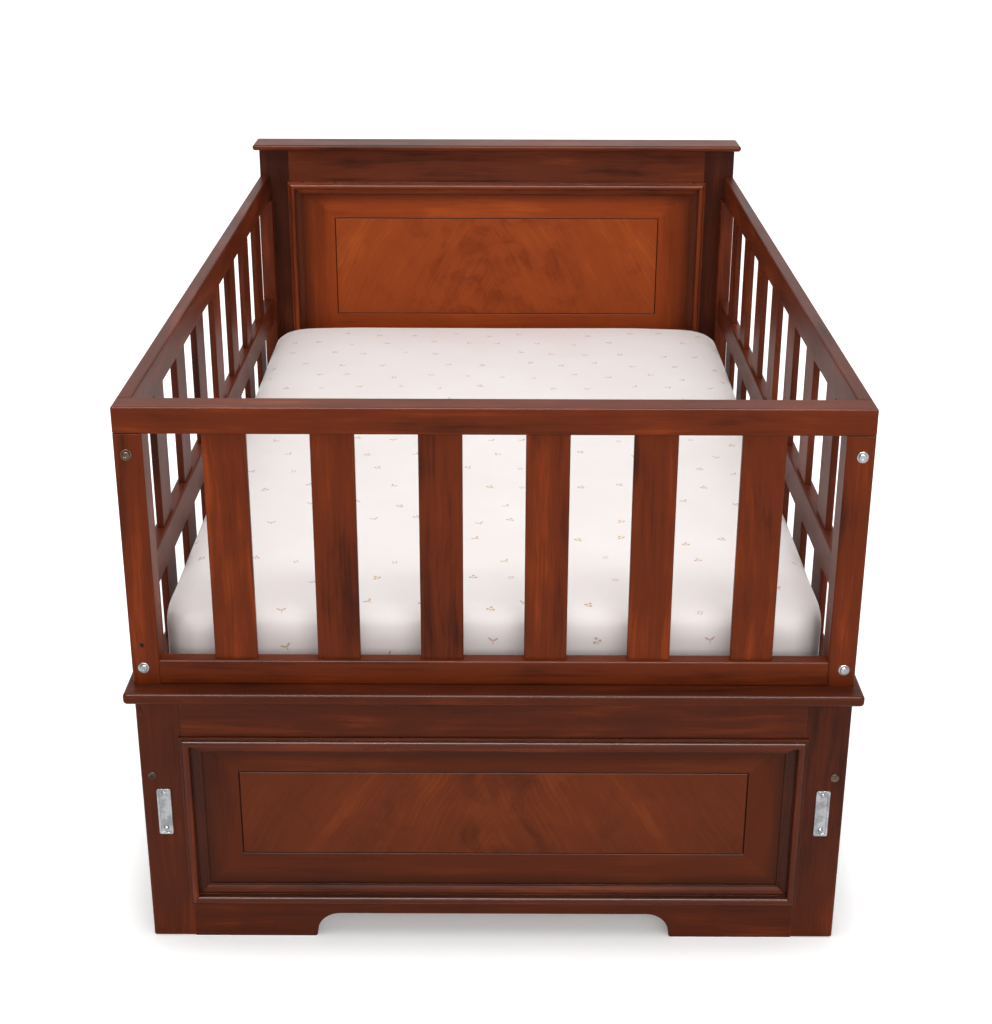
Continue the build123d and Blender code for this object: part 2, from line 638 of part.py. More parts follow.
def mattress():
    """Foam core, and the sheet stretched over it with its edge tucked under."""
    core = mattress_form(SHEET_THICK)
    bare = (MATTRESS_WIDTH - 2 * SHEET_TUCK, MATTRESS_LENGTH - 2 * SHEET_TUCK)
    tuck = RectangleRounded(*bare, MATTRESS_CORNER)
    underside = Pos(0, (FOOT_BACK + HEAD_FACE) / 2, DECK_TOP + SOFT_CLEARANCE)
    sheet = mattress_form(0) - core - underside * extrude(tuck, 2 * SHEET_THICK)
    return {"mattress": core, "fitted_sheet": sheet}


# Whole bed


def drilled(shape, tools):
    """The shape with each tool's space cut out of it."""
    for tool in tools:
        shape -= tool
    return shape


def cot_bed():
    """Every node of the bed by name."""
    nodes = {**footboard(), **headboard(), **guard(), **bed_base(), **mattress()}
    frame = side_frame()
    joints = bolt_joints()
    holes = [hole for group in joints.values() for joint in group for hole in joint["holes"]]
    guard_holes = [hole for joint in joints["guard"] for hole in joint["holes"]]
    rail_holes = [hole for joint in joints["rail"] for hole in joint["holes"]]
    dowels = rail_dowels()
    plate, plate_screws = latch_plate()
    into_rail = cleat_screws()
    into_cleat = deck_screws()
    frame["side_front_stile"] = drilled(frame["side_front_stile"], guard_holes)
    frame["side_back_stile"] = drilled(frame["side_back_stile"], holes)

    for name, side in SIDES.items():
        cuts = {
            f"guard_{name}_post": guard_holes,
            f"foot_{name}_stile": rail_holes + dowels + plate_screws,
            f"head_{name}_stile": holes + dowels,
            f"{name}_bed_rail": rail_holes + dowels + into_rail,
            f"{name}_cleat": into_rail + into_cleat,
        }
        for node, tools in cuts.items():
            nodes[node] = drilled(nodes[node], [on_side(tool, side) for tool in tools])
        nodes.update({f"{name}_{part}": mirrored(shape, side) for part, shape in frame.items()})

    pair = list(SIDES.values())
    nodes.update(bolt_nodes(joints))
    nodes["dowels"] = [on_side(pin, side) for pin in dowels for side in pair]
    nodes["latch_plates"] = [on_side(plate, side) for side in pair]
    nodes["latch_plate_screws"] = [on_side(screw, side) for screw in plate_screws for side in pair]
    nodes["cleat_screws"] = [on_side(screw, side) for screw in into_rail for side in pair]
    nodes["deck_screws"] = [on_side(screw, side) for screw in into_cleat for side in pair]
    screws = nodes["deck_screws"]
    nodes["deck_slats"] = [drilled(slat, screws_in(slat, screws)) for slat in nodes["deck_slats"]]
    return nodes


def screws_in(slat, screws):
    """The screws whose heads lie in one deck slat."""
    middle = slat.center().Y
    return [screw for screw in screws if abs(screw.center().Y - middle) < DECK_SLAT_WIDTH / 2]


def mirrored(shape, side):
    """One shape or a list of shapes, on the given side."""
    if isinstance(shape, list):
        return [on_side(piece, side) for piece in shape]
    return on_side(shape, side)


def write(nodes):
    """One STEP file for each node, with a group's pieces kept as separate solids."""
    os.makedirs("parts", exist_ok=True)
    for name, shape in nodes.items():
        pieces = shape if isinstance(shape, list) else [shape]
        solids = [solid for piece in pieces for solid in piece.solids()]
        export_step(solids[0] if len(solids) == 1 else Compound(children=solids), f"parts/{name}.step")


write(cot_bed())
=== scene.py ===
"""Looks of the cot bed: polished boards, plated fixings, mattress and printed fitted sheet."""
import json
import math

import bmesh
import bpy
from mathutils import Matrix, Vector, noise


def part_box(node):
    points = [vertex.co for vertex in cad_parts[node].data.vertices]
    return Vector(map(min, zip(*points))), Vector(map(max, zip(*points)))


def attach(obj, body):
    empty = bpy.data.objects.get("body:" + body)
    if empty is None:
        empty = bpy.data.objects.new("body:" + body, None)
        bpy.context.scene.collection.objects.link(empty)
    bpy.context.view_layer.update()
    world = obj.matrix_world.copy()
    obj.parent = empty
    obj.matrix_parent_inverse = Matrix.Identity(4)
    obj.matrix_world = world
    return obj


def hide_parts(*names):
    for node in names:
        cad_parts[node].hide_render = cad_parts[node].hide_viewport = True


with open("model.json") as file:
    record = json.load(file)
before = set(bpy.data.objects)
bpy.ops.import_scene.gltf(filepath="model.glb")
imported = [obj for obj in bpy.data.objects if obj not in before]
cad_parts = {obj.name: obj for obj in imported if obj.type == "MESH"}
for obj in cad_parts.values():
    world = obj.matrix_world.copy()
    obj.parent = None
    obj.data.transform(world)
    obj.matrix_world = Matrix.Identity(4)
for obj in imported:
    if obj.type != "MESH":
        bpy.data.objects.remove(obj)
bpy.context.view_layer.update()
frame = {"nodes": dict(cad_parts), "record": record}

# Sizes that the boards and the bedding share with the frame, in metres
FACE_Y = {"foot": -0.802, "head": 0.778}
PANEL_SETBACK = 0.010
GROOVE_WIDE = 0.003
FIELD = {"foot": (0.377, 0.1425, 0.2825), "head": (0.359, 0.540, 0.758)}
SHEET_LOW, SHEET_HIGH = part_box("fitted_sheet")


# Node building


def add(tree, kind, sockets=None, **settings):
    """New shader node, with its settings, its constants and its links."""
    made = tree.nodes.new("ShaderNode" + kind)
    for name, value in settings.items():
        setattr(made, name, value)
    for name, value in (sockets or {}).items():
        connect(tree, value, made.inputs[name])
    return made


def connect(tree, value, socket):
    """Links a socket to another, or gives it a constant."""
    if isinstance(value, bpy.types.NodeSocket):
        tree.links.new(value, socket)
    else:
        socket.default_value = value


def calc(tree, operation, *values, clamp=False):
    """Math node's output for one, two or three values."""
    return add(tree, "Math", dict(enumerate(values)), operation=operation, use_clamp=clamp).outputs[0]


def vector_calc(tree, operation, *values):
    """Vector Math node's vector for one or two vectors."""
    return add(tree, "VectorMath", dict(enumerate(values)), operation=operation).outputs[0]


def between(tree, value, start, end):
    """0 up to start and 1 past end, smooth between them."""
    sockets = {"Value": value, "From Min": start, "From Max": end}
    return add(tree, "MapRange", sockets, interpolation_type="SMOOTHSTEP").outputs[0]


def mixed(tree, factor, first, second, blend="MIX"):
    """Colour mix of two colours."""
    made = add(tree, "Mix", data_type="RGBA", blend_type=blend)
    for place, value in ((0, factor), (6, first), (7, second)):
        connect(tree, value, made.inputs[place])
    return made.outputs[2]


def mottle(tree, vector, scale, detail=3.0, stretch=(1, 1, 1), roughness=0.5, distortion=0.0):
    """Noise value over a stretched vector."""
    sized = vector_calc(tree, "MULTIPLY", vector, [scale * part for part in stretch])
    grain = {"Detail": detail, "Roughness": roughness, "Distortion": distortion}
    return add(tree, "TexNoise", {"Vector": sized, "Scale": 1.0, **grain}).outputs["Fac"]


def raised(tree, height, strength, distance, normal=None, invert=False):
    """Normal with the relief of a height on it, or sunk by that height."""
    sockets = {"Height": height, "Strength": strength, "Distance": distance}
    if normal is not None:
        sockets["Normal"] = normal
    return add(tree, "Bump", sockets, invert=invert).outputs[0]


def effect(name, inputs, outputs):
    """Node group with named sockets: the tree, its inputs, and the sockets that take its results."""
    tree = bpy.data.node_groups.new(name, "ShaderNodeTree")
    for label, kind in inputs.items():
        tree.interface.new_socket(label, in_out="INPUT", socket_type="NodeSocket" + kind)
    for label, kind in outputs.items():
        tree.interface.new_socket(label, in_out="OUTPUT", socket_type="NodeSocket" + kind)
    given = tree.nodes.new("NodeGroupInput").outputs
    result = tree.nodes.new("NodeGroupOutput").inputs
    return tree, given, result


def use(tree, group, **sockets):
    """Places an effect in a material and gives back its outputs."""
    made = tree.nodes.new("ShaderNodeGroup")
    made.node_tree = group
    for name, value in sockets.items():
        connect(tree, value, made.inputs[name.replace("_", " ")])
    return made.outputs


def new_material(name):
    """Empty node material: its tree and its Principled node."""
    material = bpy.data.materials.new(name)
    material.use_nodes = True
    tree = material.node_tree
    tree.nodes.clear()
    surface = add(tree, "BsdfPrincipled")
    output = tree.nodes.new("ShaderNodeOutputMaterial")
    tree.links.new(surface.outputs[0], output.inputs["Surface"])
    return material, tree, surface


def set_surface(tree, surface, sockets):
    """Gives the Principled node its constants and links."""
    for name, value in sockets.items():
        connect(tree, value, surface.inputs[name])


def object_point(tree):
    """Place on the piece in the bed's own frame."""
    return add(tree, "TexCoord").outputs["Object"]


def shown_rays(tree):
    """1 for what the camera sees, also through glass and in gloss, and 0 for rays that only light."""
    path = add(tree, "LightPath").outputs
    shown = calc(tree, "ADD", path["Is Camera Ray"], path["Is Glossy Ray"])
    return calc(tree, "ADD", shown, path["Is Transmission Ray"], clamp=True)


def rgb(red, green, blue):
    """Linear colour from the 0 to 255 values of a screen."""
    linear = []
    for part in (red, green, blue):
        share = part / 255
        linear.append(share / 12.92 if share <= 0.04045 else ((share + 0.055) / 1.055) ** 2.4)
    return (*linear, 1.0)


# Shared effects

SWAY = 0.04
GROWTH_BANDS = 12.0
PORE_STAIN = 0.22


def make_wood_figure():
    """Stained wood whose grain runs along Z: growth bands, streaks, pores and a cloudy stain."""
    tree, given, result = effect(
        "wood figure",
        {
            "Vector": "Vector", "Dark": "Color", "Middle": "Color", "Light": "Color",
            "Bands": "Float", "Broad": "Float", "Fine": "Float", "Cloud": "Float",
        },
        {"Colour": "Color", "Pores": "Float"},
    )
    point = given["Vector"]
    sway = mottle(tree, point, scale=3.0, detail=2.0, stretch=(1, 1, 0.7))
    swayed = vector_calc(tree, "ADD", point, vector_calc(tree, "MULTIPLY", sway, (SWAY, SWAY, 0)))
    rings = mottle(tree, swayed, scale=9.0, detail=1.0, stretch=(1, 1, 0.10))
    bands = calc(tree, "PINGPONG", calc(tree, "MULTIPLY", rings, GROWTH_BANDS), 1.0)
    broad = mottle(tree, swayed, 42.0, detail=4.0, stretch=(1, 1, 0.09), roughness=0.55, distortion=0.4)
    streaks = mottle(tree, swayed, scale=210.0, detail=3.0, stretch=(1, 1, 0.03), roughness=0.6)
    cloud = mottle(tree, point, scale=7.0, detail=3.0, stretch=(1, 1, 0.6), roughness=0.6)
    banded = calc(tree, "MULTIPLY", calc(tree, "SUBTRACT", bands, 0.5), given["Bands"])
    tone = calc(tree, "MULTIPLY_ADD", calc(tree, "SUBTRACT", broad, 0.5), given["Broad"], 0.5)
    tone = calc(tree, "MULTIPLY_ADD", calc(tree, "SUBTRACT", streaks, 0.5), given["Fine"], tone)
    tone = calc(tree, "MULTIPLY_ADD", calc(tree, "SUBTRACT", cloud, 0.5), given["Cloud"], tone)
    tone = calc(tree, "ADD", tone, banded, clamp=True)
    low = mixed(tree, between(tree, tone, 0.0, 0.5), given["Dark"], given["Middle"])
    colour = mixed(tree, between(tree, tone, 0.5, 1.0), low, given["Light"])
    pits = mottle(tree, swayed, scale=900.0, detail=1.0, stretch=(1, 1, 0.02))
    pores = between(tree, pits, 0.58, 0.70)
    stained = mixed(tree, calc(tree, "MULTIPLY", pores, PORE_STAIN), colour, given["Dark"])
    connect(tree, stained, result["Colour"])
    connect(tree, pores, result["Pores"])
    return tree


def make_eased_arris():
    """Softened edges: a normal that rounds them, and a mask of where polish is rubbed thin."""
    tree, given, result = effect(
        "eased arris", {"Vector": "Vector", "Radius": "Float"}, {"Normal": "Vector", "Rubbed": "Float"}
    )
    rounded = add(tree, "Bevel", {"Radius": given["Radius"]}, samples=6).outputs[0]
    flat = add(tree, "NewGeometry").outputs["Normal"]
    facing = add(tree, "VectorMath", {0: rounded, 1: flat}, operation="DOT_PRODUCT").outputs["Value"]
    edge = between(tree, calc(tree, "SUBTRACT", 1.0, facing), 0.02, 0.22)
    patchy = between(tree, mottle(tree, given["Vector"], scale=24.0, detail=4.0), 0.40, 0.66)
    connect(tree, rounded, result["Normal"])
    connect(tree, calc(tree, "MULTIPLY", edge, patchy), result["Rubbed"])
    return tree


def make_mitred_grain():
    """Turns the grain of a mitred frame round a rectangle, and says what lies inside it."""
    tree, given, result = effect(
        "mitred grain",
        {"Vector": "Vector", "Half Width": "Float", "Half Height": "Float", "Middle": "Float"},
        {"Vector": "Vector", "Inside": "Float"},
    )
    axes = add(tree, "SeparateXYZ", {0: given["Vector"]}).outputs
    beyond = calc(tree, "SUBTRACT", calc(tree, "ABSOLUTE", axes[0]), given["Half Width"])
    height = calc(tree, "ABSOLUTE", calc(tree, "SUBTRACT", axes[2], given["Middle"]))
    above = calc(tree, "SUBTRACT", height, given["Half Height"])
    upright = calc(tree, "GREATER_THAN", beyond, above)
    across = add(tree, "CombineXYZ", {0: axes[2], 1: axes[1], 2: axes[0]}).outputs[0]
    turned = add(tree, "Mix", data_type="VECTOR")
    for place, value in ((0, upright), (4, across), (5, given["Vector"])):
        connect(tree, value, turned.inputs[place])
    connect(tree, turned.outputs[1], result["Vector"])
    inside = calc(tree, "LESS_THAN", calc(tree, "MAXIMUM", beyond, above), 0.0)
    connect(tree, inside, result["Inside"])
    return tree


WOOD_FIGURE = make_wood_figure()
EASED_ARRIS = make_eased_arris()
MITRED_GRAIN = make_mitred_grain()


# Wood finishes

STAINS = {
    "guard": (rgb(54, 17, 4), rgb(98, 38, 11), rgb(140, 58, 19)),
    # The foot end's stains are kept darker than the guard's as painted shade, for its lower place under the
    # cap
    "foot": (rgb(42, 14, 5), rgb(76, 30, 12), rgb(110, 46, 19)),
    "foot moulding": (rgb(46, 16, 6), rgb(82, 33, 14), rgb(116, 50, 22)),
    "head": (rgb(52, 18, 8), rgb(100, 43, 21), rgb(146, 66, 32)),
    # The headboard's stiles are darker still: painted shade for their place between the side rails
    "head stile in painted shade": (rgb(38, 14, 7), rgb(66, 27, 14), rgb(96, 42, 22)),
    "head moulding": (rgb(76, 28, 9), rgb(118, 50, 21), rgb(156, 74, 34)),
    "side": (rgb(46, 15, 7), rgb(84, 33, 15), rgb(120, 52, 26)),
    "foot veneer": (rgb(64, 23, 7), rgb(95, 40, 15), rgb(120, 54, 20)),
    "head veneer": (rgb(104, 38, 10), rgb(150, 66, 25), rgb(184, 90, 36)),
    "raw": (rgb(150, 112, 70), rgb(188, 150, 104), rgb(214, 182, 138)),
}
# Colour of the painted shade laid in hollows, at the panel border's rim and sides, and at the bottom of the
# groove
PAINTED_SHADE = rgb(24, 8, 4)
TURNS = {"up": (0, 0, 0), "across": (0, math.pi / 2, 0), "along": (math.pi / 2, 0, 0)}
BOARD_FIGURE = {"Bands": 0.14, "Broad": 1.10, "Fine": 0.55, "Cloud": 1.0}
BORDER_FIGURE = {"Bands": 0.12, "Broad": 0.75, "Fine": 0.50, "Cloud": 0.7}
LEAF_FIGURE = {"Bands": 0.03, "Broad": 0.38, "Fine": 0.50, "Cloud": 1.1}
DEAL_FIGURE = {"Bands": 0.45, "Broad": 0.80, "Fine": 0.60, "Cloud": 0.8}
RUBBED_STAIN = rgb(176, 92, 52)
RUBBED_SHARE = 0.35
PORE_DEPTH = 0.0003
SMEARS = 0.16
ARRIS = {"board": 0.0016, "moulding": 0.0010, "veneer": 0.0006, "raw": 0.0015, "metal": 0.0005}
BORDER_SHADE = {"foot": (0.74, 0.70, 0.68, 1), "head": (0.92, 0.86, 0.84, 1)}

# Painted shade in the panels, where shade falls: for the moulding's hollows and the border's rim, places and
# reaches in from the moulding's rim, in metres, and strengths
PAINTED_SHADE_HOLLOWS = ((0.0, 0.0016, 0.30), (0.0158, 0.0024, 0.65), (0.0295, 0.0030, 0.70))
PANEL_RIM_SHADE = ((0.0310, 0.0240, 0.45),)
OVOLO_RISE, OVOLO_FALL = (0.014, 0.018), (0.031, 0.034)
# Strength of the painted shade over the ovolo of the moulding's upright runs
UPRIGHT_PAINTED_SHADE = 0.55
# Painted shade on the border's sides, on the headboard only, and how far in from the field it reaches
SIDE_PAINTED_SHADE = {"foot": 0.0, "head": 0.34}
SIDE_PAINTED_SHADE_WIDE = 0.05
# Depths behind the panel's face over which the groove's bottom is darkened as painted shade
GROOVE_PAINTED_SHADE = (0.0002, 0.0010)

# The two leaves of the field: how their lines lean and wander, and how far patches keep to the seam
LEAF_LEAN = math.radians(60)
LEAF_WANDER = 0.05
SEAM_REACH = (0.03, 0.26)
PATCH_EDGE = (0.46, 0.66)
PATCH_BASE, PATCH_AT_SEAM = 0.16, 0.34


def tones_of(stain):
    """Dark, middle and light of a stain, named as the wood figure's sockets."""
    return dict(zip(("Dark", "Middle", "Light"), STAINS[stain]))


def out_from_middle(tree, point):
    """How far a point lies to either side of the bed's middle."""
    return calc(tree, "ABSOLUTE", add(tree, "SeparateXYZ", {0: point}).outputs[0])


def polish(tree, surface, figure, arris, colour, shine, gloss=0.08, open_pores=0.25):
    """Satin lacquer over stained wood."""
    rubbed = calc(tree, "MULTIPLY", arris["Rubbed"], RUBBED_SHARE)
    worn = mixed(tree, rubbed, colour, RUBBED_STAIN)
    smears = mottle(tree, object_point(tree), scale=9.0, detail=4.0)
    rough = calc(tree, "MULTIPLY_ADD", calc(tree, "SUBTRACT", smears, 0.5), SMEARS, shine)
    normal = raised(tree, figure["Pores"], open_pores, PORE_DEPTH, arris["Normal"], invert=True)
    surface.inputs["Specular IOR Level"].default_value = gloss
    set_surface(tree, surface, {"Base Color": worn, "Roughness": rough, "Normal": normal})


def polished_wood(stain, run):
    """Polished board wood in one stain, its grain along one direction."""
    material, tree, surface = new_material(f"{stain} wood {run}")
    point = object_point(tree)
    turned = add(tree, "Mapping", {"Vector": point, "Rotation": TURNS[run]}).outputs[0]
    figure = use(tree, WOOD_FIGURE, Vector=turned, **tones_of(stain), **BOARD_FIGURE)
    arris = use(tree, EASED_ARRIS, Vector=point, Radius=ARRIS["board"])
    polish(tree, surface, figure, arris, figure["Colour"], shine=0.36)
    return material


def in_from_rim(tree, point, board):
    """How far a point lies in from the moulding's outer rim: from its sides, and from its top or bottom."""
    low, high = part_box(f"{board}_moulding")
    half, middle = (high - low) / 2, (low.z + high.z) / 2
    height = calc(tree, "SUBTRACT", add(tree, "SeparateXYZ", {0: point}).outputs[2], middle)
    beside = calc(tree, "SUBTRACT", half.x, out_from_middle(tree, point))
    return beside, calc(tree, "SUBTRACT", half.z, calc(tree, "ABSOLUTE", height))


def painted_shade_in_hollows(tree, beside, below, hollows):
    """How much painted shade darkens the hollows, each a place in from the rim, a reach and a strength."""
    inwards = calc(tree, "MINIMUM", beside, below)
    painted_shade = 0.0
    for place, reach, strength in hollows:
        away = calc(tree, "ABSOLUTE", calc(tree, "SUBTRACT", inwards, place))
        near = calc(tree, "SUBTRACT", 1.0, between(tree, away, 0.0, reach))
        painted_shade = calc(tree, "MAXIMUM", calc(tree, "MULTIPLY", near, strength), painted_shade)
    return painted_shade


def painted_shade_on_uprights(tree, beside, below):
    """How much painted shade dims the ovolo of the moulding's upright runs, out of the light from above."""
    upright = calc(tree, "LESS_THAN", beside, below)
    inner = calc(tree, "SUBTRACT", 1.0, between(tree, beside, *OVOLO_FALL))
    ovolo = calc(tree, "MULTIPLY", between(tree, beside, *OVOLO_RISE), inner)
    return calc(tree, "MULTIPLY", ovolo, calc(tree, "MULTIPLY", upright, UPRIGHT_PAINTED_SHADE))


def moulding_wood(board):
    """Polished wood of the mitred moulding: the grain follows each run, and painted shade darkens its
    hollows and the ovolo of its upright runs.
    """
    material, tree, surface = new_material(f"{board} moulding wood")
    point = object_point(tree)
    low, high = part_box(f"{board}_moulding")
    half = (high - low) / 2
    sockets = {"Half_Width": half.x, "Half_Height": half.z, "Middle": (low.z + high.z) / 2}
    runs = use(tree, MITRED_GRAIN, Vector=point, **sockets)
    figure = use(tree, WOOD_FIGURE, Vector=runs["Vector"], **tones_of(f"{board} moulding"), **BOARD_FIGURE)
    arris = use(tree, EASED_ARRIS, Vector=point, Radius=ARRIS["moulding"])
    beside, below = in_from_rim(tree, point, board)
    # Painted shade in the moulding's hollows and over the ovolo of its upright runs
    hollow = painted_shade_in_hollows(tree, beside, below, PAINTED_SHADE_HOLLOWS)
    painted_shade = calc(tree, "MAXIMUM", hollow, painted_shade_on_uprights(tree, beside, below))
    shaded = mixed(tree, painted_shade, figure["Colour"], PAINTED_SHADE)
    polish(tree, surface, figure, arris, shaded, shine=0.30, gloss=0.11, open_pores=0.06)
    return material


def book_matched(tree, point):
    """Grain vector of two mirrored leaves whose fine lines lean up to the middle seam."""
    axes = add(tree, "SeparateXYZ", {0: point}).outputs
    out = calc(tree, "ABSOLUTE", axes[0])
    wander = mottle(tree, point, scale=5.0, detail=2.0)
    rise, lean = math.sin(LEAF_LEAN), math.cos(LEAF_LEAN)
    across = calc(tree, "MULTIPLY_ADD", out, rise, calc(tree, "MULTIPLY", axes[2], lean))
    along = calc(tree, "MULTIPLY_ADD", out, -lean, calc(tree, "MULTIPLY", axes[2], rise))
    across = calc(tree, "MULTIPLY_ADD", wander, LEAF_WANDER, across)
    return add(tree, "CombineXYZ", {0: across, 1: axes[1], 2: along}).outputs[0]


def border_colour(tree, point, board, grain):
    """Border round the field: its grain follows the mitres, it is darkened as a whole, and painted shade
    darkens it at its rim and sides.
    """
    edge = use(tree, WOOD_FIGURE, Vector=grain, **tones_of(f"{board} veneer"), **BORDER_FIGURE)
    deeper = mixed(tree, 1.0, edge["Colour"], BORDER_SHADE[board], "MULTIPLY")
    # Painted shade along the border's rim next to the moulding and down its sides
    rim = painted_shade_in_hollows(tree, *in_from_rim(tree, point, board), PANEL_RIM_SHADE)
    deeper = mixed(tree, rim, deeper, PAINTED_SHADE)
    start = FIELD[board][0]
    at_side = between(tree, out_from_middle(tree, point), start, start + SIDE_PAINTED_SHADE_WIDE)
    return mixed(tree, calc(tree, "MULTIPLY", at_side, SIDE_PAINTED_SHADE[board]), deeper, PAINTED_SHADE)


def field_colour(tree, point, board, figure):
    """Book-matched field with soft dark patches, stronger near the seam."""
    patches = mottle(tree, point, 15.0, detail=5.0, stretch=(1, 1, 0.85), roughness=0.62, distortion=0.9)
    at_seam = calc(tree, "SUBTRACT", 1.0, between(tree, out_from_middle(tree, point), *SEAM_REACH))
    strength = calc(tree, "MULTIPLY_ADD", at_seam, PATCH_AT_SEAM, PATCH_BASE)
    blotched = calc(tree, "MULTIPLY", between(tree, patches, *PATCH_EDGE), strength)
    return mixed(tree, blotched, figure["Colour"], tones_of(f"{board} veneer")["Dark"])


def veneer(board):
    """Panel veneer: mitred border, groove darkened at its bottom as painted shade, and book-matched field in
    front, plain wood behind.
    """
    material, tree, surface = new_material(f"{board} veneer")
    point = object_point(tree)
    half_width, bottom, top = FIELD[board]
    sockets = {"Half_Width": half_width, "Half_Height": (top - bottom) / 2, "Middle": (top + bottom) / 2}
    border = use(tree, MITRED_GRAIN, Vector=point, **sockets)
    grain = book_matched(tree, point)
    figure = use(tree, WOOD_FIGURE, Vector=grain, **tones_of(f"{board} veneer"), **LEAF_FIGURE)
    edged = border_colour(tree, point, board, border["Vector"])
    colour = mixed(tree, border["Inside"], edged, field_colour(tree, point, board, figure))
    depth = add(tree, "SeparateXYZ", {0: point}).outputs[1]
    face = FACE_Y[board] + PANEL_SETBACK
    in_front = calc(tree, "LESS_THAN", depth, face + GROOVE_WIDE)
    # Painted shade at the bottom of the groove
    groove = between(tree, depth, *(face + ink for ink in GROOVE_PAINTED_SHADE))
    groove_shaded = mixed(tree, calc(tree, "MULTIPLY", groove, in_front), colour, PAINTED_SHADE)
    plain = use(tree, WOOD_FIGURE, Vector=point, **tones_of(board), **BORDER_FIGURE)
    finish = mixed(tree, in_front, plain["Colour"], groove_shaded)
    arris = use(tree, EASED_ARRIS, Vector=point, Radius=ARRIS["veneer"])
    polish(tree, surface, figure, arris, finish, shine=0.34)
    return material


def raw_wood():
    """Planed pale wood of the deck, cleats and dowels, without polish."""
    material, tree, surface = new_material("planed deck wood")
    point = object_point(tree)
    turned = add(tree, "Mapping", {"Vector": point, "Rotation": TURNS["across"]}).outputs[0]
    figure = use(tree, WOOD_FIGURE, Vector=turned, **tones_of("raw"), **DEAL_FIGURE)
    arris = use(tree, EASED_ARRIS, Vector=point, Radius=ARRIS["raw"])
    normal = raised(tree, figure["Pores"], 0.4, PORE_DEPTH, arris["Normal"], invert=True)
    set_surface(tree, surface, {"Base Color": figure["Colour"], "Roughness": 0.66, "Normal": normal})
    return material


# Metal finishes


def plating(name, bright, dull, shine):
    """Plated metal: fine drawn lines, dulled patches and rubbed edges."""
    material, tree, surface = new_material(name)
    point = object_point(tree)
    lines = mottle(tree, point, scale=500.0, detail=2.0, stretch=(1, 1, 0.05))
    patches = mottle(tree, point, scale=90.0, detail=4.0)
    arris = use(tree, EASED_ARRIS, Vector=point, Radius=ARRIS["metal"])
    colour = mixed(tree, between(tree, patches, 0.35, 0.65), dull, bright)
    rough = calc(tree, "MULTIPLY_ADD", lines, 0.16, shine)
    normal = raised(tree, lines, strength=0.08, distance=0.0002, normal=arris["Normal"])
    set_surface(tree, surface, {"Base Color": colour, "Roughness": rough, "Metallic": 1.0, "Normal": normal})
    return material


# Bedding materials

PRINT_PITCH = 0.077
PRINT_JITTER = 0.42
PRINT_TURN = 1.6
ROW_STAGGER = 0.37
PETALS = ((0.0, 0.0042), (0.0042, -0.0014), (-0.0042, -0.0014))
CLUSTER = ((0.0034, 0.0), (-0.0034, 0.0), (0.0, 0.0034), (0.0, -0.0034))
PETAL_RADIUS, DOT_RADIUS = 0.0023, 0.0015
LEAF_SIZE, STALK_SIZE, SHORT_STALK_SIZE = (0.0042, 0.0014), (0.0048, 0.0007), (0.0034, 0.0008)
LEAF_TURN = 0.7
INK_EDGE = (-0.0004, 0.0005)
SPRIGS_FROM, DOTS_FROM, EMPTY_SHARE = 0.42, 0.82, 0.08
COTTON_THREADS, TICKING_THREADS = 900.0, 700.0
STRIPES_PER_METRE = 25.0


def scaled(tree, vector, factor):
    """Vector times a factor."""
    return add(tree, "VectorMath", {0: vector, "Scale": factor}, operation="SCALE").outputs[0]


def random_parts(tree, *seeds):
    """Three values that follow by chance from three seeds."""
    cell = add(tree, "CombineXYZ", dict(enumerate(seeds))).outputs[0]
    noisy = add(tree, "TexWhiteNoise", {"Vector": cell}).outputs["Color"]
    return add(tree, "SeparateColor", {0: noisy}).outputs


def picked(tree, choose, first, second):
    """The first of two values, or the second where choose is 1."""
    made = add(tree, "Mix", data_type="FLOAT")
    for place, value in ((0, choose), (2, first), (3, second)):
        connect(tree, value, made.inputs[place])
    return made.outputs[0]


def make_weave():
    """Fine interlaced threads over flat cloth measured in metres: their height and a slub."""
    inputs, outputs = {"Vector": "Vector", "Threads": "Float"}, {"Height": "Float", "Slub": "Float"}
    tree, given, result = effect("fine weave", inputs, outputs)
    sized = scaled(tree, given["Vector"], given["Threads"])
    axes = add(tree, "SeparateXYZ", {0: sized}).outputs
    warp = calc(tree, "SINE", calc(tree, "MULTIPLY", axes[0], math.tau))
    weft = calc(tree, "SINE", calc(tree, "MULTIPLY", axes[1], math.tau))
    connect(tree, calc(tree, "MULTIPLY_ADD", calc(tree, "MULTIPLY", warp, weft), 0.5, 0.5), result["Height"])
    slub = mottle(tree, given["Vector"], scale=60.0, detail=4.0, stretch=(1, 6, 1))
    connect(tree, slub, result["Slub"])
    return tree


def spot(tree, point, place, radius):
    """Distance from a point to the rim of a round dot, negative inside it."""
    away = add(tree, "VectorMath", {0: point, 1: (*place, 0)}, operation="DISTANCE").outputs["Value"]
    return calc(tree, "SUBTRACT", away, radius)


def leaf(tree, point, place, turn, size):
    """Distance to the rim of a slim leaf, negative inside it."""
    length, width = size
    lie = {"Location": (*place, 0), "Rotation": (0, 0, turn)}
    moved = add(tree, "Mapping", {"Vector": point, **lie}, vector_type="TEXTURE").outputs[0]
    stretched = vector_calc(tree, "MULTIPLY", moved, (1, length / width, 1))
    away = add(tree, "VectorMath", {0: stretched}, operation="LENGTH").outputs["Value"]
    return calc(tree, "SUBTRACT", away, length)


def least(tree, *values):
    """Smallest of several values."""
    result = values[0]
    for value in values[1:]:
        result = calc(tree, "MINIMUM", result, value)
    return result


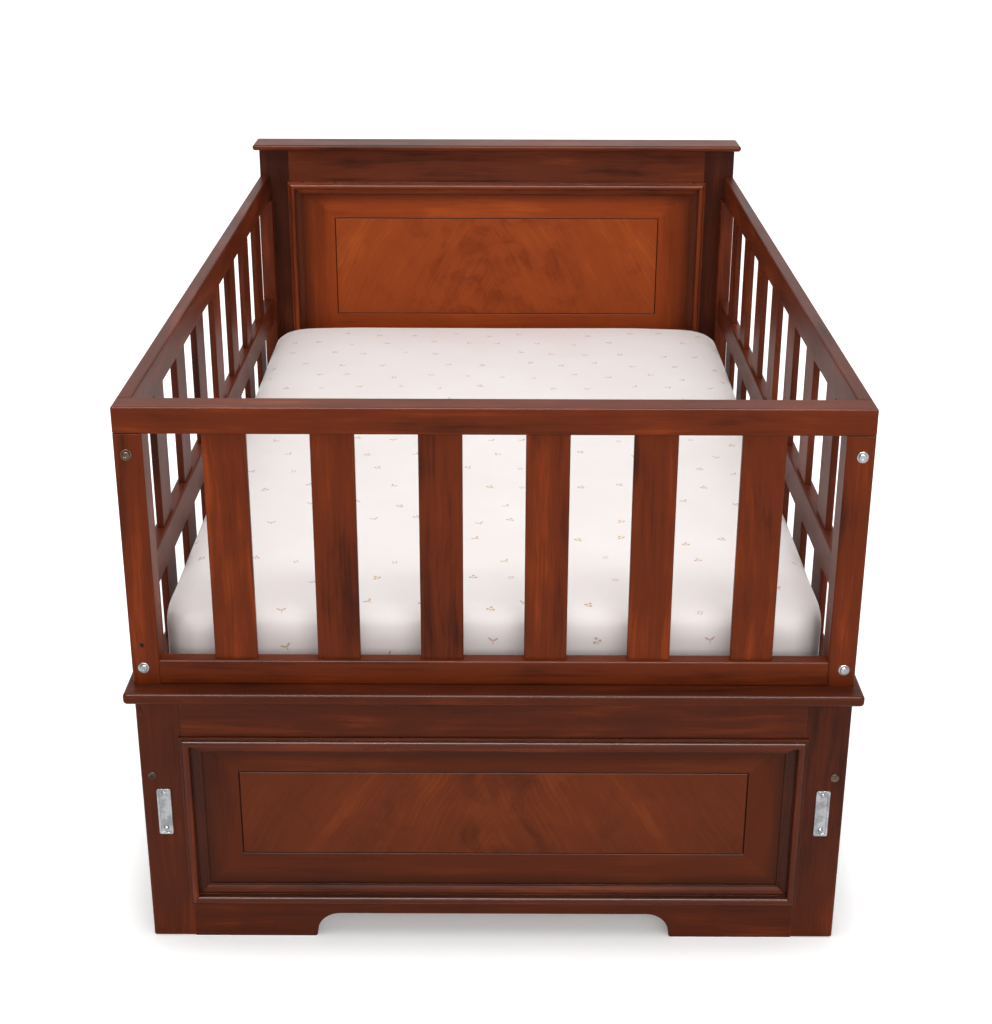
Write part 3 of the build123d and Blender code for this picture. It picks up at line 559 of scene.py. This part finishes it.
def make_sprig_print():
    """Small sprigs, trefoils and dot clusters scattered in loose offset rows over flat cloth."""
    inputs, outputs = {"Vector": "Vector", "Pitch": "Float"}, {"Ink": "Float", "Shade": "Float"}
    tree, given, result = effect("sprig print", inputs, outputs)
    axes = add(tree, "SeparateXYZ", {0: given["Vector"]}).outputs
    up = calc(tree, "DIVIDE", axes[1], given["Pitch"])
    row = calc(tree, "FLOOR", up)
    stagger = calc(tree, "MULTIPLY", calc(tree, "FLOORED_MODULO", row, 3.0), ROW_STAGGER)
    along = calc(tree, "ADD", calc(tree, "DIVIDE", axes[0], given["Pitch"]), stagger)
    column = calc(tree, "FLOOR", along)
    chance = random_parts(tree, column, row, 3.0)
    choice = random_parts(tree, row, column, 8.0)
    local = []
    for value, base, jitter in ((along, column, chance[0]), (up, row, chance[1])):
        inside = calc(tree, "SUBTRACT", calc(tree, "SUBTRACT", value, base), 0.5)
        shift = calc(tree, "MULTIPLY", calc(tree, "SUBTRACT", jitter, 0.5), PRINT_JITTER)
        local.append(calc(tree, "SUBTRACT", inside, shift))
    placed = add(tree, "CombineXYZ", {0: local[0], 1: local[1], 2: 0.0}).outputs[0]
    placed = scaled(tree, placed, given["Pitch"])
    angle = calc(tree, "MULTIPLY", calc(tree, "SUBTRACT", chance[2], 0.5), PRINT_TURN)
    point = add(tree, "VectorRotate", {"Vector": placed, "Angle": angle}, rotation_type="Z_AXIS").outputs[0]
    trefoil = least(
        tree,
        *(spot(tree, point, petal, PETAL_RADIUS) for petal in PETALS),
        leaf(tree, point, (0.0, -0.0030), math.pi / 2, SHORT_STALK_SIZE),
    )
    sprig = least(
        tree,
        leaf(tree, point, (0.0040, 0.0022), LEAF_TURN, LEAF_SIZE),
        leaf(tree, point, (-0.0040, 0.0022), -LEAF_TURN, LEAF_SIZE),
        leaf(tree, point, (0.0, -0.0018), math.pi / 2, STALK_SIZE),
    )
    dots = least(tree, *(spot(tree, point, place, DOT_RADIUS) for place in CLUSTER))
    motif = picked(tree, calc(tree, "GREATER_THAN", choice[0], SPRIGS_FROM), trefoil, sprig)
    motif = picked(tree, calc(tree, "GREATER_THAN", choice[0], DOTS_FROM), motif, dots)
    ink = calc(tree, "SUBTRACT", 1.0, between(tree, motif, *INK_EDGE))
    filled = calc(tree, "GREATER_THAN", choice[1], EMPTY_SHARE)
    connect(tree, calc(tree, "MULTIPLY", ink, filled), result["Ink"])
    connect(tree, choice[2], result["Shade"])
    return tree


WEAVE = make_weave()
SPRIG_PRINT = make_sprig_print()


def printed_cotton():
    """White jersey cotton with a faint pink cast and small tan and rose motifs."""
    material, tree, surface = new_material("printed cotton")
    flat = add(tree, "UVMap", uv_map="cut cloth").outputs[0]
    weave = use(tree, WEAVE, Vector=flat, Threads=COTTON_THREADS)
    printed = use(tree, SPRIG_PRINT, Vector=flat, Pitch=PRINT_PITCH)
    tan, rose = rgb(204, 165, 104), rgb(212, 166, 152)
    ink = mixed(tree, between(tree, printed["Shade"], 0.45, 0.60), tan, rose)
    warm, white, thick = rgb(246, 238, 235), rgb(249, 243, 241), rgb(230, 219, 214)
    cast = mixed(tree, between(tree, mottle(tree, flat, scale=5.0, detail=3.0), 0.3, 0.7), warm, white)
    slub = calc(tree, "MULTIPLY", between(tree, weave["Slub"], 0.55, 0.8), 0.25)
    slubbed = mixed(tree, slub, cast, thick)
    colour = mixed(tree, calc(tree, "MULTIPLY", printed["Ink"], 0.85), slubbed, ink)
    rough = calc(tree, "MULTIPLY_ADD", weave["Slub"], 0.12, 0.78)
    normal = raised(tree, weave["Height"], strength=0.12, distance=0.0002)
    surface.inputs["Sheen Weight"].default_value = 0.12
    surface.inputs["Sheen Roughness"].default_value = 0.5
    surface.inputs["Specular IOR Level"].default_value = 0.25
    set_surface(tree, surface, {"Base Color": colour, "Roughness": rough, "Normal": normal})
    return material


def ticking():
    """Mattress cover: close off-white ticking with thin woven stripes."""
    material, tree, surface = new_material("mattress ticking")
    point = object_point(tree)
    weave = use(tree, WEAVE, Vector=point, Threads=TICKING_THREADS)
    across = calc(tree, "MULTIPLY", add(tree, "SeparateXYZ", {0: point}).outputs[0], STRIPES_PER_METRE)
    stripe = between(tree, calc(tree, "PINGPONG", across, 0.5), 0.40, 0.44)
    plain = mixed(tree, between(tree, weave["Slub"], 0.4, 0.7), rgb(228, 225, 219), rgb(236, 234, 229))
    colour = mixed(tree, calc(tree, "MULTIPLY", stripe, 0.6), plain, rgb(176, 186, 196))
    rough = calc(tree, "MULTIPLY_ADD", weave["Slub"], 0.10, 0.82)
    normal = raised(tree, weave["Height"], strength=0.25, distance=0.0004)
    surface.inputs["Specular IOR Level"].default_value = 0.25
    set_surface(tree, surface, {"Base Color": colour, "Roughness": rough, "Normal": normal})
    return material


# Boards and fixings take their finishes


def board_of(node):
    """Stain group that a node belongs to."""
    for board in ("guard", "foot", "head"):
        if node.startswith(board):
            return board
    return "side"


def run_of(node):
    """Direction of a board's grain."""
    if node.endswith(("stile", "post", "slats", "lower_panel")):
        return "up"
    return "along" if board_of(node) == "side" else "across"


def stain_of(node):
    """Stain of a board: the headboard's stiles are darker than the rest of it, as painted shade."""
    board = board_of(node)
    return "head stile in painted shade" if board == "head" and node.endswith("stile") else board


def finish_frame():
    """Gives each node of the frame its own finish, and leaves the bedding's nodes to their pieces."""
    made = {}
    steel = plating("zinc plate", rgb(154, 155, 157), rgb(122, 123, 125), 0.24)
    bronze = plating("dark bronze", rgb(92, 74, 62), rgb(58, 46, 40), 0.30)
    raw = raw_wood()
    fixed = {"bright_steel": steel, "dark_bronze": bronze, "plain_wood": raw}
    for part in frame["record"]["subparts"]:
        node, slot = part["node"], part["material_slot"]
        if slot in ("mattress_ticking", "printed_sheet"):
            continue
        if slot in fixed:
            finish = fixed[slot]
        elif slot == "veneered_panel":
            finish = veneer(board_of(node))
        elif node.endswith("moulding"):
            finish = moulding_wood(board_of(node))
        else:
            key = (stain_of(node), run_of(node))
            if key not in made:
                made[key] = polished_wood(*key)
            finish = made[key]
        mesh = frame["nodes"][node].data
        mesh.materials.clear()
        mesh.materials.append(finish)


finish_frame()


# Bedding

CORNER = 0.070
TOP_ROLL = 0.030
UNDER_ROLL = 0.022
SHEET_THICK = 0.0012
SHEET_TUCK = 0.110
FORM_VOXEL = 0.016
SWELL = 0.005
AIR_PRESSURE = 4.0
AIR_FRAMES = 20
HAIR = 0.0002

# How far the used mattress gives, and how far the sheet stands off it, in metres
CORNER_LOW, END_LOW, SIDE_LOW = 0.0045, 0.0020, 0.0010
DENT = 0.0016
DRAWN_IN, WAISTED, RIPPLE = 0.0016, 0.0012, 0.0010
PLEAT_DEEP, SLACK_DEEP = 0.0013, 0.0006
PLEATS_ROUND, PLEAT_SLANT = 14, 18


def link(body):
    """Puts an object in the scene."""
    bpy.context.scene.collection.objects.link(body)
    return body


def soften(mesh, edges, radius, segments):
    """Rounds edges with a bevel."""
    shape = {"segments": segments, "profile": 0.5, "affect": "EDGES", "material": -1}
    bmesh.ops.bevel(mesh, geom=edges, offset=radius, **shape)


def mattress_block(low, high):
    """Block with rounded corners, a full roll round its top and a tighter one round its underside."""
    mesh = bmesh.new()
    bmesh.ops.create_cube(mesh, size=1.0)
    bmesh.ops.scale(mesh, vec=high - low, verts=mesh.verts)
    bmesh.ops.translate(mesh, vec=(low + high) / 2, verts=mesh.verts)
    upright = [edge for edge in mesh.edges if abs(edge.verts[0].co.z - edge.verts[1].co.z) > 0.01]
    soften(mesh, upright, CORNER, 8)
    for level, radius in ((high.z, TOP_ROLL), (low.z, UNDER_ROLL)):
        rim = [edge for edge in mesh.edges if all(abs(vert.co.z - level) < 1e-5 for vert in edge.verts)]
        soften(mesh, rim, radius, 5)
    return mesh


def settled(body):
    """The object's mesh with its modifiers worked out."""
    return bpy.data.meshes.new_from_object(body.evaluated_get(bpy.context.evaluated_depsgraph_get()))


def swollen(block):
    """Even mesh over the block, blown out by air like a full pad, each point by no more than the swell."""
    data = bpy.data.meshes.new("mattress form")
    block.to_mesh(data)
    block.free()
    body = link(bpy.data.objects.new("mattress form", data))
    even = body.modifiers.new("even", "REMESH")
    even.mode = "VOXEL"
    even.voxel_size = FORM_VOXEL
    body.data = settled(body)
    body.modifiers.clear()
    start = [vert.co.copy() for vert in body.data.vertices]
    air = body.modifiers.new("air", "CLOTH")
    air.settings.use_pressure = True
    air.settings.uniform_pressure_force = AIR_PRESSURE
    air.settings.effector_weights.gravity = 0.0
    for step in range(1, AIR_FRAMES + 1):
        bpy.context.scene.frame_set(step)
    blown = settled(body)
    bpy.context.scene.frame_set(1)
    body.modifiers.clear()
    for vert, rest in zip(blown.vertices, start):
        shift = vert.co - rest
        vert.co = rest + shift * min(1.0, SWELL / max(shift.length, 1e-6))
    body.data = blown
    shape = body.data
    bpy.data.objects.remove(body)
    return shape


def eased(value, start, end):
    """0 up to start and 1 past end, smooth between them."""
    share = min(1.0, max(0.0, (value - start) / (end - start)))
    return share * share * (3 - 2 * share)


def lie_of(point, middle, half, top):
    """Small moves of a used mattress: corners and ends a little low, sides drawn in, faint dents."""
    x, y = point.x - middle.x, point.y - middle.y
    near_side = eased(abs(x), half.x - 0.20, half.x)
    near_end = eased(abs(y), half.y - 0.22, half.y)
    upper = eased(point.z, top - 0.09, top - 0.01)
    low = CORNER_LOW * near_side * near_end + END_LOW * near_end + SIDE_LOW * near_side
    dents = DENT * noise.noise(Vector((x * 4.2, y * 3.4, 1.7))) * (1 - 0.6 * max(near_side, near_end))
    waist = 1 - ((point.z - top) / (half.z * 2) * 2 + 1) ** 2
    bumps_x = noise.noise(Vector((9.1, y * 6.0, point.z * 9)))
    bumps_y = noise.noise(Vector((x * 6.0, 4.3, point.z * 9)))
    pull_x = DRAWN_IN * (1 - (y / half.y) ** 2) + WAISTED * waist + RIPPLE * bumps_x
    pull_y = DRAWN_IN * (1 - (x / half.x) ** 2) + WAISTED * waist + RIPPLE * bumps_y
    move = Vector((0, 0, upper * (dents - low)))
    move.x -= math.copysign(max(0.0, pull_x), x) * eased(abs(x), half.x - 0.09, half.x - 0.01)
    move.y -= math.copysign(max(0.0, pull_y), y) * eased(abs(y), half.y - 0.09, half.y - 0.01)
    return move


def make_mattress_form():
    """Outer form of the made-up mattress, fitted to the room it has in the frame."""
    low, high = SHEET_LOW.copy(), SHEET_HIGH.copy()
    inset = Vector((SWELL, SWELL, SWELL))
    shape = swollen(mattress_block(low + inset, high - inset))
    middle, half = (low + high) / 2, (high - low) / 2
    for vert in shape.vertices:
        vert.co += lie_of(vert.co, middle, half, high.z)
    for axis in range(3):
        places = [vert.co[axis] for vert in shape.vertices]
        start, end = min(places), max(places)
        scale = (high[axis] - low[axis]) / (end - start)
        for vert in shape.vertices:
            vert.co[axis] = low[axis] + (vert.co[axis] - start) * scale
    return shape


def moved_along_normals(shape, distance):
    """Copy of the form pushed out by a distance, or in by a negative one."""
    mesh = bmesh.new()
    mesh.from_mesh(shape)
    mesh.normal_update()
    for vert in mesh.verts:
        vert.co += vert.normal * distance
    return mesh


def finished_piece(mesh, name, material):
    """Object for a finished bmesh, smooth shaded, with its material."""
    data = bpy.data.meshes.new(name)
    mesh.to_mesh(data)
    mesh.free()
    data.polygons.foreach_set("use_smooth", [True] * len(data.polygons))
    data.materials.append(material)
    return link(bpy.data.objects.new(name, data))


def subdivided(piece):
    """One level of subdivision, the same in the view and in the render."""
    smooth = piece.modifiers.new("smooth", "SUBSURF")
    smooth.levels = smooth.render_levels = 1


def corner_offset(point):
    """How far a point lies out from the mattress's flat middle, along X and Y."""
    middle, half = (SHEET_LOW + SHEET_HIGH) / 2, (SHEET_HIGH - SHEET_LOW) / 2
    held = Vector((0.0, 0.0))
    for axis in range(2):
        reach = half[axis] - CORNER
        held[axis] = min(reach, max(-reach, point[axis] - middle[axis]))
    return held, Vector((point.x - middle.x, point.y - middle.y)) - held


def unfolded(point):
    """Place of a point of the sheet on the cloth as it was cut, in metres from its middle."""
    held, out = corner_offset(point)
    if out.length < 1e-6:
        return held
    over = max(0.0, out.length - (CORNER - TOP_ROLL))
    drop = SHEET_HIGH.z - point.z
    turn = math.atan2(over, max(1e-6, TOP_ROLL - drop))
    path = min(out.length, CORNER - TOP_ROLL) + TOP_ROLL * turn + max(0.0, drop - TOP_ROLL)
    return held + out.normalized() * path


def sheet_fold(point):
    """How far the sheet stands off, in soft folds at its corners and in slack along its sides."""
    held, out = corner_offset(point)
    drop = SHEET_HIGH.z - point.z
    turn = math.atan2(abs(out.y), abs(out.x))
    corner = eased(min(abs(out.x), abs(out.y)), 0.004, 0.030) * eased(drop, 0.020, 0.060)
    side = math.copysign(1.3, held.x)
    pleats = 0.5 + 0.5 * math.cos(turn * PLEATS_ROUND + drop * PLEAT_SLANT + side + held.y)
    slack = eased(drop, 0.050, 0.120) * noise.noise(Vector((held.x * 11, held.y * 11, drop * 6)))
    return PLEAT_DEEP * corner * pleats + SLACK_DEEP * slack


def make_pad(shape):
    """Mattress in its ticking, a hair inside the sheet."""
    pad = finished_piece(moved_along_normals(shape, -SHEET_THICK - HAIR), "mattress_pad", ticking())
    subdivided(pad)
    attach(pad, "bedding")
    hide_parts("mattress")


def open_underside(mesh):
    """Takes the sheet's underside away, but for the tuck round its edge."""
    bare = (SHEET_HIGH - SHEET_LOW) / 2 - Vector((SHEET_TUCK, SHEET_TUCK, 0))
    middle = (SHEET_LOW + SHEET_HIGH) / 2
    under = []
    for face in mesh.faces:
        centre = face.calc_center_median() - middle
        if face.normal.z < -0.5 and abs(centre.x) < bare.x and abs(centre.y) < bare.y:
            under.append(face)
    bmesh.ops.delete(mesh, geom=under, context="FACES")


def lay_on_cut_cloth(mesh):
    """Gives each corner of each face its place on the cloth as it was cut."""
    unfold = mesh.loops.layers.uv.new("cut cloth")
    for face in mesh.faces:
        for corner in face.loops:
            corner[unfold].uv = unfolded(corner.vert.co)


def make_sheet(shape):
    """Fitted sheet drawn tight over the mattress and tucked under it."""
    mesh = moved_along_normals(shape, -SHEET_THICK)
    open_underside(mesh)
    for vert in mesh.verts:
        vert.co += vert.normal * sheet_fold(vert.co)
    lay_on_cut_cloth(mesh)
    sheet = finished_piece(mesh, "fitted_sheet_cloth", printed_cotton())
    subdivided(sheet)
    cloth = sheet.modifiers.new("cloth", "SOLIDIFY")
    cloth.thickness = SHEET_THICK
    cloth.offset = 1.0
    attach(sheet, "bedding")
    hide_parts("fitted_sheet")


mattress_form = make_mattress_form()
make_pad(mattress_form)
make_sheet(mattress_form)


# Small studs on the left of the foot end

PLUG = {"radius": 0.0036, "height": 0.0006}
PIN = {"radius": 0.0021, "height": 0.0008}
PLUG_PLACE = (-0.5028, 0.4955)
PIN_PLACES = {"upper_pin": (-0.5128, 0.3933), "lower_pin": (-0.5127, 0.3851)}


def stud(name, board, place, size, material):
    """Low domed stud on the front of a board, at a place across and up."""
    across, up = place
    mesh = bmesh.new()
    bmesh.ops.create_circle(mesh, cap_ends=True, cap_tris=False, radius=size["radius"], segments=24)
    raised_parts = bmesh.ops.extrude_face_region(mesh, geom=list(mesh.faces))["geom"]
    risen = [part for part in raised_parts if isinstance(part, bmesh.types.BMVert)]
    bmesh.ops.translate(mesh, vec=(0, 0, size["height"]), verts=risen)
    rim = [edge for edge in mesh.edges if all(vert in risen for vert in edge.verts)]
    soften(mesh, rim, size["height"] * 0.7, 3)
    bmesh.ops.recalc_face_normals(mesh, faces=mesh.faces)
    forward = Matrix.Rotation(math.pi / 2, 3, "X")
    bmesh.ops.rotate(mesh, cent=(0, 0, 0), matrix=forward, verts=mesh.verts)
    bmesh.ops.translate(mesh, vec=(across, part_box(board)[0].y, up), verts=mesh.verts)
    piece = finished_piece(mesh, name, material)
    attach(piece, "bed")


def fit_studs():
    """Filled bolt hole on the guard's left post, and two pin heads at the top of the left stile."""
    dark = plating("dark stud", rgb(70, 52, 42), rgb(40, 28, 24), 0.34)
    stud("hole_plug", "guard_left_post", PLUG_PLACE, PLUG, dark)
    for name, place in PIN_PLACES.items():
        stud(name, "foot_left_stile", place, PIN, dark)


fit_studs()


# Camera, light and floor

CAMERA_PLACE = (0.00535, -3.0024, 1.6050)
CAMERA_TURN, CAMERA_DIP, CAMERA_ROLL = 0.00124, 0.38868, 0.00287
LENS, SENSOR = 60.513, 36.0
WORLD_LIGHT = 0.65
FLOOR_WHITE = (0.95, 0.95, 0.95, 1)
# Painted shadow on the floor: within this reach of the bed's middle, fading past it, the floor glows less
PAINTED_SHADOW_UNDER_BED = (0.50, 0.80)
GLOW_IN_PAINTED_SHADOW, GLOW_CLEAR, GLOW_FADE = 0.14, 0.58, 0.16


def place_camera():
    """Camera at the photograph's place, looking down at the foot end."""
    data = bpy.data.cameras.new("camera")
    data.lens = LENS
    data.sensor_width = SENSOR
    camera = link(bpy.data.objects.new("camera", data))
    turn = Matrix.Rotation(CAMERA_TURN, 4, "Z") @ Matrix.Rotation(math.pi / 2 - CAMERA_DIP, 4, "X")
    aimed = turn @ Matrix.Rotation(CAMERA_ROLL, 4, "Z")
    camera.matrix_world = Matrix.Translation(CAMERA_PLACE) @ aimed
    bpy.context.scene.camera = camera


def softbox(name, place, target, size, power, gloss_only=False):
    """Large area lamp aimed at a point, or a strip that only gloss shows."""
    data = bpy.data.lights.new(name, "AREA")
    data.shape = "RECTANGLE"
    data.size, data.size_y = size
    data.energy = power
    lamp = link(bpy.data.objects.new(name, data))
    aim = Vector(target) - Vector(place)
    lamp.matrix_world = Matrix.Translation(place) @ aim.to_track_quat("-Z", "Y").to_matrix().to_4x4()
    lamp.visible_diffuse = not gloss_only


def white_surround():
    """World that lights softly and shows as white to the camera, to gloss and through glass."""
    world = bpy.data.worlds.new("studio")
    bpy.context.scene.world = world
    world.use_nodes = True
    tree = world.node_tree
    tree.nodes.clear()
    strength = calc(tree, "MULTIPLY_ADD", shown_rays(tree), 1 - WORLD_LIGHT, WORLD_LIGHT)
    back = add(tree, "Background", {"Color": (1, 1, 1, 1), "Strength": strength})
    output = tree.nodes.new("ShaderNodeOutputWorld")
    tree.links.new(back.outputs[0], output.inputs["Surface"])


def lay_floor():
    """Pale floor that glows white to the camera, with a weaker glow under the bed as painted shadow that
    deepens the bed's own shadow.
    """
    mesh = bmesh.new()
    bmesh.ops.create_grid(mesh, x_segments=8, y_segments=8, size=14.0)
    data = bpy.data.meshes.new("floor")
    mesh.to_mesh(data)
    mesh.free()
    floor = link(bpy.data.objects.new("floor", data))
    material, tree, surface = new_material("floor")
    axes = add(tree, "SeparateXYZ", {0: object_point(tree)}).outputs
    # Painted shadow: the glow is weaker under the bed
    past = [calc(tree, "SUBTRACT", calc(tree, "ABSOLUTE", axes[k]), PAINTED_SHADOW_UNDER_BED[k]) for k in range(2)]
    clear = between(tree, calc(tree, "MAXIMUM", *past), 0.0, GLOW_FADE)
    glow = calc(tree, "MULTIPLY_ADD", clear, GLOW_CLEAR - GLOW_IN_PAINTED_SHADOW, GLOW_IN_PAINTED_SHADOW)
    glow = calc(tree, "MULTIPLY", glow, shown_rays(tree))
    tint = {"Base Color": FLOOR_WHITE, "Roughness": 0.9, "Specular IOR Level": 0.0}
    set_surface(tree, surface, {**tint, "Emission Color": (1, 1, 1, 1), "Emission Strength": glow})
    data.materials.append(material)


place_camera()
white_surround()
lay_floor()
softbox("overhead", place=(0.0, -0.9, 3.8), target=(0, 0.0, 0.4), size=(3.2, 2.6), power=56)
softbox("front", place=(0.7, -4.2, 1.9), target=(0, -0.7, 0.45), size=(3.0, 1.6), power=46)
softbox(
    "edge strip", place=(0, -2.0, 3.5), target=(0, -0.8, 0.5), size=(3.4, 0.55), power=600, gloss_only=True
)

bpy.context.scene.view_settings.view_transform = "Standard"
